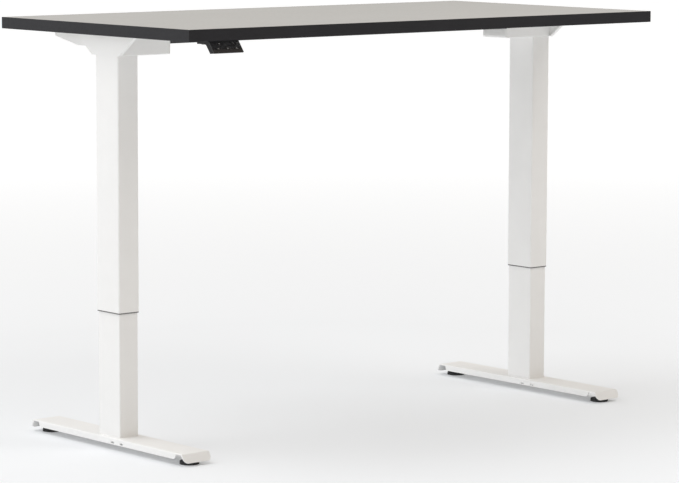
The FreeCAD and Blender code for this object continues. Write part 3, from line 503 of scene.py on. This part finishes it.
def board_green():
    """Solder mask with the relief of tracks, and black bodies for what stands on the board."""
    paint = Paint("board_green", roughness=0.35)
    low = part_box("control_box")[0]
    board_low = low.z + BOARD_BOTTOM
    board_high = low.z + BOARD_TOP
    split = paint.node("ShaderNodeSeparateXYZ")
    paint.link(paint.place, split.inputs["Vector"])
    above = paint.between(split.outputs["Z"], 0, 1, board_high, board_high + BOARD_BLEND)
    below = paint.between(split.outputs["Z"], 1, 0, board_low - BOARD_BLEND, board_low)
    either = paint.node("ShaderNodeMath")
    either.operation = "MAXIMUM"
    paint.link(above, either.inputs[0])
    paint.link(below, either.inputs[1])
    tracks = paint.node("ShaderNodeTexWave")
    tracks.inputs["Scale"].default_value = 90.0
    tracks.inputs["Distortion"].default_value = 9.0
    paint.link(paint.place, tracks.inputs["Vector"])
    lines = paint.between(tracks.outputs["Fac"], 0, 1, 0.45, 0.55)
    mask = paint.mixed(lines, (0.02, 0.13, 0.05), (0.035, 0.21, 0.085))
    paint.colour(paint.mixed(either.outputs["Value"], mask, (0.02, 0.02, 0.022)))
    paint.roughness(paint.between(paint.noise(200.0, 3.0), 0.3, 0.45))
    paint.bump(tracks.outputs["Fac"], 0.00003)
    return paint.material


def cast_metal(name, colour, roughness):
    """Cast or turned metal with a sandy grain."""
    paint = Paint(name, roughness, metallic=1.0)
    sand = paint.noise(700.0, 4.0)
    cloud = paint.noise(30.0, 4.0)
    paint.colour(paint.mixed(paint.between(cloud, 0, 1), shade(colour, 0.88), shade(colour, 1.06)))
    paint.roughness(paint.between(sand, roughness * 0.8, roughness * 1.25))
    paint.bump(sand, 0.00008)
    return paint.material


materials = {
    "white_powder_coat": white_powder_coat(),
    "black_powder_coat": coated(
        "black_powder_coat", (0.022, 0.022, 0.024), roughness=0.42, grain=1600.0, depth=0.00005, spread=0.1
    ),
    "zinc_steel": brushed(
        "zinc_steel", (0.62, 0.62, 0.60), roughness=0.34, stretch=(900.0, 900.0, 120.0)
    ),
    "natural_nylon": coated(
        "natural_nylon", (0.78, 0.76, 0.69), roughness=0.5, grain=1200.0, depth=0.00003
    ),
    "nut_brass": brushed(
        "nut_brass", (0.72, 0.55, 0.28), roughness=0.3, stretch=(90.0, 90.0, 1800.0)
    ),
    "spindle_steel": brushed(
        "spindle_steel", (0.5, 0.5, 0.51), roughness=0.3, stretch=(300.0, 300.0, 1500.0)
    ),
    "gear_plastic": coated(
        "gear_plastic", (0.82, 0.80, 0.72), roughness=0.45, grain=900.0, depth=0.00003
    ),
    "white_plastic": coated(
        "white_plastic", (0.86, 0.857, 0.845), roughness=0.5, grain=1500.0, depth=0.00006, spread=0.012
    ),
    "cast_aluminium": cast_metal("cast_aluminium", (0.6, 0.61, 0.62), roughness=0.5),
    "motor_black": coated(
        "motor_black", (0.045, 0.045, 0.05), roughness=0.38, grain=1300.0, depth=0.00004, spread=0.1
    ),
    "pad_rubber": coated(
        "pad_rubber", (0.018, 0.018, 0.019), roughness=0.72, grain=900.0, depth=0.00008, spread=0.15
    ),
    "collar_grey": coated(
        "collar_grey", (0.12, 0.12, 0.12), roughness=0.55, grain=1300.0, depth=0.00004, spread=0.08
    ),
    "bearing_chrome": brushed(
        "bearing_chrome", (0.7, 0.7, 0.7), roughness=0.14, stretch=(200.0, 200.0, 2400.0)
    ),
    "particle_board": particle_board(),
    "grey_laminate": grey_laminate(),
    "black_edge_band": black_edge_band(),
    "black_plastic": coated(
        "black_plastic", (0.009, 0.009, 0.01), roughness=0.42, grain=1500.0, depth=0.00008,
        spread=0.12, specular=0.3
    ),
    "board_green": board_green(),
    "gloss_black": gloss_black(),
    "display_glass": display_glass(),
    "button_grey": coated(
        "button_grey", (0.03, 0.03, 0.032), roughness=0.34, grain=1800.0, depth=0.00003, spread=0.08
    ),
}


def paint_nodes():
    """Give every CAD node the material of its slot in the record."""
    for part in frame["record"]["subparts"]:
        target = nodes[part["node"]]
        for material_slot in target.material_slots:
            material_slot.material = materials[part["material_slot"]]


# ---- edges of the CAD nodes ---------------------------------------------------------------------


def soften_nodes():
    """Small roundings, as bent sheet, mouldings and bands have them."""
    for side in ("left", "right"):
        for name in ("foot_", "side_plate_", "rear_arm_", "drive_box_"):
            soften(name + side, WHITE_BEVEL)
        for name in ("inner_tube_", "outer_tube_"):
            soften(name + side, TUBE_BEVEL)
        soften("box_end_cap_" + side, PLASTIC_BEVEL)
        for name in ("gearbox_case_", "motor_"):
            soften(name + side, PLASTIC_BEVEL)
    soften("edge_band", EDGE_BAND_BEVEL)
    for name in ("cross_rail_front", "cross_rail_rear"):
        soften(name, WHITE_BEVEL)
    for name in ("control_box", "control_box_cover", "handset_shell", "handset_face"):
        soften(name, PLASTIC_BEVEL)
    for name in button_names():
        soften(name, PLASTIC_BEVEL)


def button_names():
    return sorted(name for name in nodes if name.startswith("button_"))


# ---- screws -------------------------------------------------------------------------------------


def screw(shape, low, high, head_height, shank, recess, depth):
    """Screw with its head down, in the box from low to high: recess, crowned head, shank."""
    x = (low.x + high.x) / 2
    y = (low.y + high.y) / 2
    head = (high.x - low.x) / 2
    seat = low.z + head_height
    crown = head_height * CROWN_SHARE
    sections = [
        (low.z + depth, lambda angle: recess(angle) * RECESS_FLOOR_SHARE),
        (low.z + RECESS_RIM_DEPTH, recess),
        (low.z, lambda angle: recess(angle) + RECESS_RIM_SPREAD),
    ]
    sections += [(low.z + crown * up, head * out) for up, out in CROWN_PROFILE]
    sections += [
        (seat - HEAD_EDGE, head),
        (seat, head - HEAD_EDGE),
        (seat, shank),
        (high.z - SCREW_TIP_LENGTH, shank),
        (high.z, shank * SCREW_TIP_SHARE),
    ]
    turned(shape, x, y, sections)


def screws(node, head_height, shank, recess, depth):
    """Detailed screws in place of a node of plain ones."""
    shape = bmesh.new()
    for low, high in islands(node):
        screw(shape, low, high, head_height, shank, recess, depth)
    piece(node + "_detailed", shape, node, "zinc_steel", 0.0, (node,))


def all_screws():
    """Cross recess screws under the top, hexagon socket screws under the feet."""
    recess = cross(TOP_SCREW_CROSS, TOP_SCREW_CROSS_HALF_WIDTH)
    screws("top_screws", TOP_SCREW_HEAD, TOP_SCREW_SHANK, recess, TOP_SCREW_RECESS_DEPTH)
    recess = hexagon(FOOT_SCREW_HEXAGON)
    for side in ("left", "right"):
        screws("foot_screws_" + side, FOOT_SCREW_HEAD, FOOT_SCREW_SHANK, recess, FOOT_SCREW_RECESS_DEPTH)


# ---- threads ------------------------------------------------------------------------------------


def thread_sections(z0, z1, radius, depth, lead, starts, step):
    """Sections of a threaded rod for turned(): a helix as a radius that depends on height and angle."""
    def at(z):
        def reach(angle):
            turn = ((z / lead - angle / (2 * math.pi)) * starts) % 1.0
            crest = min(max(abs(turn - 0.5) * THREAD_SLOPE - THREAD_OFFSET, 0.0), 1.0)
            return radius - depth * (1 - crest)
        return reach
    count = max(int((z1 - z0) / step), 2)
    heights = [z0 + (z1 - z0) * i / count for i in range(count + 1)]
    return [(z, at(z)) for z in heights]


def leveller_studs():
    """Threaded studs with a chamfered hexagon, in place of the plain ones."""
    for end in ("front", "rear"):
        for side in ("left", "right"):
            leveller_stud(end, side)


def leveller_stud(end, side):
    """Stud in its pad, hexagon on the pad, thread up to a chamfered tip."""
    node = "leveller_stud_" + end + "_" + side
    low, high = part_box(node)
    pad_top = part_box("leveller_pad_" + end + "_" + side)[1].z
    x = (low.x + high.x) / 2
    y = (low.y + high.y) / 2
    hex_top = pad_top + STUD_HEXAGON_HEIGHT
    thread_top = high.z - STUD_CHAMFER
    flats = high.y - low.y
    six = hexagon(flats)
    sections = [
        (low.z, STUD_RADIUS),
        (pad_top, STUD_RADIUS),
        (pad_top, six),
        (hex_top - STUD_CHAMFER, six),
        (hex_top, lambda angle: min(six(angle), flats / 2)),
        (hex_top, STUD_RADIUS),
    ]
    step = STUD_PITCH / STUD_THREAD_STEPS
    sections += thread_sections(hex_top, thread_top, STUD_RADIUS, STUD_THREAD_DEPTH, STUD_PITCH, 1, step)
    sections.append((high.z, STUD_RADIUS * STUD_TIP_SHARE))
    shape = bmesh.new()
    turned(shape, x, y, sections, STUD_SIDES)
    piece(node + "_threaded", shape, node, "zinc_steel", 0.0, (node,))


def spindles():
    """Lifting spindles with their four start thread, in place of the plain rods."""
    couplings = {row["joint"]: row for row in frame["record"]["behaviour"]["couplings"]}
    for side in ("left", "right"):
        node = "spindle_" + side
        low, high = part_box(node)
        lead = 2 * math.pi / abs(couplings[side + "_spindle_turn"]["ratio"])
        wheel_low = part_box("worm_wheel_" + side)[0].z
        radius = (high.x - low.x) / 2
        thread_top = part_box("outer_tube_" + side)[1].z - SPINDLE_PLAIN_END
        shape = bmesh.new()
        sections = [(low.z, radius - SPINDLE_THREAD_DEPTH)]
        sections += thread_sections(
            low.z + MM, thread_top, radius, SPINDLE_THREAD_DEPTH, lead, SPINDLE_STARTS, SPINDLE_STEP
        )
        sections += [(thread_top + MM, radius), (wheel_low, radius), (high.z, radius)]
        turned(shape, (low.x + high.x) / 2, (low.y + high.y) / 2, sections, SPINDLE_SIDES)
        piece(node + "_threaded", shape, node, "spindle_steel", 0.0, (node,))


# ---- handset marks ------------------------------------------------------------------------------


def ribbon(shape, points, closed, width, to_world):
    """Raised stroke along points on a flat face; to_world places (across, up, out)."""
    count = len(points)
    rows = []
    for i, point in enumerate(points):
        before = points[i - 1] if i > 0 or closed else None
        after = points[(i + 1) % count] if i < count - 1 or closed else None
        directions = []
        if before is not None:
            directions.append((point - before).normalized())
        if after is not None:
            directions.append((after - point).normalized())
        along = sum(directions, Vector((0, 0))).normalized()
        aside = Vector((-along.y, along.x))
        stretch = 1.0 / max(along.dot(directions[0]), MITRE_LIMIT)
        offset = aside * (width / 2 * stretch)
        corners = []
        for flat, out in ((point + offset, 0.0), (point + offset, ICON_HEIGHT),
                          (point - offset, ICON_HEIGHT), (point - offset, 0.0)):
            corners.append(shape.verts.new(to_world(flat.x, flat.y, out)))
        rows.append(corners)
    pairs = list(zip(rows, rows[1:]))
    if closed:
        pairs.append((rows[-1], rows[0]))
    around = len(rows[0])
    for first, second in pairs:
        for i in range(around):
            following = (i + 1) % around
            shape.faces.new((first[i], first[following], second[following], second[i]))
    if not closed:
        shape.faces.new(rows[0])
        shape.faces.new(rows[-1])


def arc(x, y, radius, start, stop, steps=10):
    """Points along an arc, angles in degrees."""
    made = []
    for i in range(steps + 1):
        angle = math.radians(start + (stop - start) * i / steps)
        made.append(Vector((x + radius * math.cos(angle), y + radius * math.sin(angle))))
    return made


def marks():
    """Strokes of each button's mark as (points, closed), in millimetres about the button's centre."""
    clock = [(arc(0, 0, 1.35, 0, 345, 24), True)]
    clock.append(([Vector((0, 0.75)), Vector((0, 0)), Vector((0.6, 0))], False))
    one = [([Vector((-0.5, 0.7)), Vector((0.1, 1.2)), Vector((0.1, -1.2))], False)]
    two_top = arc(0, 0.5, 0.7, 160, -30)
    two = [(two_top + [Vector((-0.7, -1.2)), Vector((0.75, -1.2))], False)]
    three_top = arc(0, 0.6, 0.6, 150, -90)
    three_bottom = arc(0, -0.6, 0.65, 90, -150)
    three = [(three_top, False), (three_bottom, False)]
    return {
        "button_timer": clock,
        "button_up": [([Vector((-1.4, -0.6)), Vector((0, 0.8)), Vector((1.4, -0.6))], False)],
        "button_down": [([Vector((-1.4, 0.6)), Vector((0, -0.8)), Vector((1.4, 0.6))], False)],
        "button_memory_1": one,
        "button_memory_2": two,
        "button_memory_3": three,
    }


def press_axes():
    """Across, up and out directions of the handset's face, from the way its buttons travel."""
    joint = [joint for joint in frame["joints"] if joint["child"] == "button_up"][0]
    out = -Vector(joint["axis"]).normalized()
    across = Vector((1, 0, 0))
    return across, out.cross(across), out


def face_place(node):
    """Function from (across, up, out) about the middle of a node's outer face to the row frame."""
    across, up, out = press_axes()
    x = sum(span(node, across)) / 2
    y = sum(span(node, up)) / 2
    z = span(node, out)[1]
    return lambda a, b, c: across * (x + a) + up * (y + b) + out * (z + c)


def handset_marks():
    """Printed marks on the buttons."""
    for name, strokes in marks().items():
        shape = bmesh.new()
        place = face_place(name)
        for points, closed in strokes:
            ribbon(shape, [point * MM for point in points], closed, ICON_STROKE, place)
        piece(name + "_mark", shape, name, "white_plastic")


def digit_segments(x):
    """Seven strokes of a display digit whose middle is at x, as point pairs in millimetres."""
    left = x - DIGIT_WIDTH / 2
    right = x + DIGIT_WIDTH / 2
    levels = (-DIGIT_HEIGHT / 2, 0.0, DIGIT_HEIGHT / 2)
    made = [[Vector((left + DIGIT_GAP, level)), Vector((right - DIGIT_GAP, level))] for level in levels]
    for low, high in zip(levels, levels[1:]):
        for side in (left, right):
            made.append([Vector((side, low + DIGIT_GAP)), Vector((side, high - DIGIT_GAP))])
    return made


def display_digits():
    """Unlit segments of three digits, nearly level with the window's surface."""
    shape = bmesh.new()
    place = face_place("display_window")

    def lowered(a, b, c):
        return place(a, b, c - ICON_HEIGHT + DIGIT_RISE)

    for x in (-DIGIT_PITCH, 0.0, DIGIT_PITCH):
        for points in digit_segments(x):
            ribbon(shape, [point * MM for point in points], False, DIGIT_STROKE, lowered)
    piece("display_segments", shape, "display_window", "button_grey")


# ---- control box details ------------------------------------------------------------------------


def block(shape, low, high):
    """Box between two corners, for small pins and ribs that a bevel then rounds."""
    middle = Matrix.Translation((low + high) / 2)
    size = Matrix.Diagonal((*(high - low), 1.0))
    bmesh.ops.create_cube(shape, size=1.0, matrix=middle @ size)


def inlet_pins():
    """Three flat pins in the mains inlet."""
    inlet_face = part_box("control_board")[1].x
    box_low, box_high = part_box("control_box")
    x = inlet_face - PIN_FROM_INLET_FACE
    y = box_high.y - INLET_FROM_REAR
    z = (box_low.z + box_high.z) / 2
    shape = bmesh.new()
    for aside, up in ((-PIN_ASIDE, -PIN_UP), (PIN_ASIDE, -PIN_UP), (0.0, PIN_UP)):
        middle = Vector((x, y + aside, z + up))
        block(shape, middle - PIN_HALF_SIZE, middle + PIN_HALF_SIZE)
    piece("mains_inlet_pins", shape, "control_board", "nut_brass", PIN_BEVEL)


def control_ribs():
    """Cooling ribs moulded on the underside of the control box's tray."""
    low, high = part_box("control_box")
    shape = bmesh.new()
    reach = (high.x - low.x) / 2 - RIB_END_MARGIN
    for i in range(RIB_COUNT):
        x = (low.x + high.x) / 2 - reach + 2 * reach * i / (RIB_COUNT - 1)
        start = Vector((x - RIB_HALF_WIDTH, low.y + RIB_SIDE_MARGIN, low.z - RIB_HEIGHT))
        stop = Vector((x + RIB_HALF_WIDTH, high.y - RIB_SIDE_MARGIN, low.z + RIB_ROOT))
        block(shape, start, stop)
    piece("control_box_ribs", shape, "control_box", "black_plastic", RIB_BEVEL)


# ---- stage and camera ---------------------------------------------------------------------------


def floor():
    """Wide pale floor, clear from below so that the underside can be looked at."""
    shape = bmesh.new()
    bmesh.ops.create_circle(shape, cap_ends=True, segments=FLOOR_SIDES, radius=FLOOR_RADIUS)
    mesh = bpy.data.meshes.new("floor")
    shape.to_mesh(mesh)
    shape.free()
    paint = Paint("studio_floor", roughness=0.85, specular=0.2)
    cloud = paint.between(paint.noise(0.6, 3.0), 0, 1)
    paint.colour(paint.mixed(cloud, shade(FLOOR_COLOUR, 0.995), FLOOR_COLOUR))
    away = paint.node("ShaderNodeVectorMath")
    away.operation = "LENGTH"
    paint.link(paint.place, away.inputs[0])
    glow = paint.between(
        away.outputs["Value"], FLOOR_GLOW_NEAR, FLOOR_GLOW_FAR, FLOOR_GLOW_START, FLOOR_GLOW_END
    )
    paint.link(glow, paint.shader.inputs["Emission Strength"])
    paint.shader.inputs["Emission Color"].default_value = (1.0, 1.0, 1.0, 1.0)
    clear = paint.node("ShaderNodeBsdfTransparent")
    chooser = paint.node("ShaderNodeMixShader")
    facing = paint.node("ShaderNodeNewGeometry")
    paint.link(facing.outputs["Backfacing"], chooser.inputs["Fac"])
    paint.link(paint.shader.outputs["BSDF"], chooser.inputs[1])
    paint.link(clear.outputs["BSDF"], chooser.inputs[2])
    paint.link(chooser.outputs["Shader"], paint.tree.nodes["Material Output"].inputs["Surface"])
    paint.material.cycles.emission_sampling = "NONE"     # its glow is even, so this is less grainy
    mesh.materials.append(paint.material)
    made = bpy.data.objects.new("floor", mesh)
    bpy.context.scene.collection.objects.link(made)


def studio_light():
    """Light from all round, brighter from the left, the rear and above, with a key and a fill lamp.

    The camera itself sees a white backdrop in place of that light.
    """
    world = bpy.data.worlds.new("studio")
    bpy.context.scene.world = world
    world.use_nodes = True
    tree = world.node_tree
    background = tree.nodes["Background"]
    background.inputs["Strength"].default_value = WORLD_STRENGTH
    place = tree.nodes.new("ShaderNodeTexCoord")
    dot = tree.nodes.new("ShaderNodeVectorMath")
    dot.operation = "DOT_PRODUCT"
    dot.inputs[1].default_value = WORLD_BRIGHT_SIDE.normalized()
    tree.links.new(place.outputs["Generated"], dot.inputs[0])
    mapped = tree.nodes.new("ShaderNodeMapRange")
    mapped.inputs["From Min"].default_value = -1.0
    tree.links.new(dot.outputs["Value"], mapped.inputs["Value"])
    ramp = tree.nodes.new("ShaderNodeValToRGB")
    stops = ramp.color_ramp.elements
    while len(stops) < len(WORLD_RAMP):
        stops.new(0.5)
    for stop, (position, colour) in zip(stops, WORLD_RAMP):
        stop.position = position
        stop.color = (*colour, 1.0)
    tree.links.new(mapped.outputs["Result"], ramp.inputs["Fac"])
    tree.links.new(ramp.outputs["Color"], background.inputs["Color"])
    backdrop = tree.nodes.new("ShaderNodeBackground")
    backdrop.inputs["Color"].default_value = (1.0, 1.0, 1.0, 1.0)
    chooser = tree.nodes.new("ShaderNodeMixShader")
    rays = tree.nodes.new("ShaderNodeLightPath")
    tree.links.new(rays.outputs["Is Camera Ray"], chooser.inputs["Fac"])
    tree.links.new(background.outputs["Background"], chooser.inputs[1])
    tree.links.new(backdrop.outputs["Background"], chooser.inputs[2])
    tree.links.new(chooser.outputs["Shader"], tree.nodes["World Output"].inputs["Surface"])

    low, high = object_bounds()
    area_light("key", KEY_PLACE, (low + high) / 2, KEY_SIZE, KEY_POWER)
    fill = area_light("fill", FILL_PLACE, FILL_AIM, FILL_SIZE, FILL_POWER)
    fill.visible_glossy = False


def area_light(name, place, aim, size, power):
    """Round lamp at a place, turned towards its aim."""
    lamp = bpy.data.lights.new(name, "AREA")
    lamp.shape = "DISK"
    lamp.size = size
    lamp.energy = power
    made = bpy.data.objects.new(name, lamp)
    made.location = place
    made.rotation_euler = (aim - place).to_track_quat("-Z", "Y").to_euler()
    bpy.context.scene.collection.objects.link(made)
    return made


def camera():
    """Camera from the front left, a little above the top."""
    yaw = math.radians(CAMERA_YAW)
    pitch = math.radians(CAMERA_PITCH)
    roll = math.radians(CAMERA_ROLL)
    ahead = Vector((math.sin(yaw) * math.cos(pitch), math.cos(yaw) * math.cos(pitch), -math.sin(pitch)))
    right = Vector((math.cos(yaw), -math.sin(yaw), 0))
    up = right.cross(ahead)
    turned_right = right * math.cos(roll) + up * math.sin(roll)
    turned_up = up * math.cos(roll) - right * math.sin(roll)
    matrix = Matrix((turned_right, turned_up, -ahead)).transposed().to_4x4()
    matrix.translation = CAMERA_PLACE
    lens = bpy.data.cameras.new("camera")
    lens.lens = CAMERA_LENS
    lens.sensor_width = SENSOR_WIDTH
    lens.clip_end = FLOOR_RADIUS * 3
    made = bpy.data.objects.new("camera", lens)
    made.matrix_world = matrix
    bpy.context.scene.collection.objects.link(made)
    bpy.context.scene.camera = made


# ---- build --------------------------------------------------------------------------------------

bpy.context.scene.view_settings.view_transform = "Standard"
camera()
paint_nodes()
soften_nodes()
all_screws()
leveller_studs()
spindles()
handset_marks()
display_digits()
inlet_pins()
control_ribs()
studio_light()
floor()
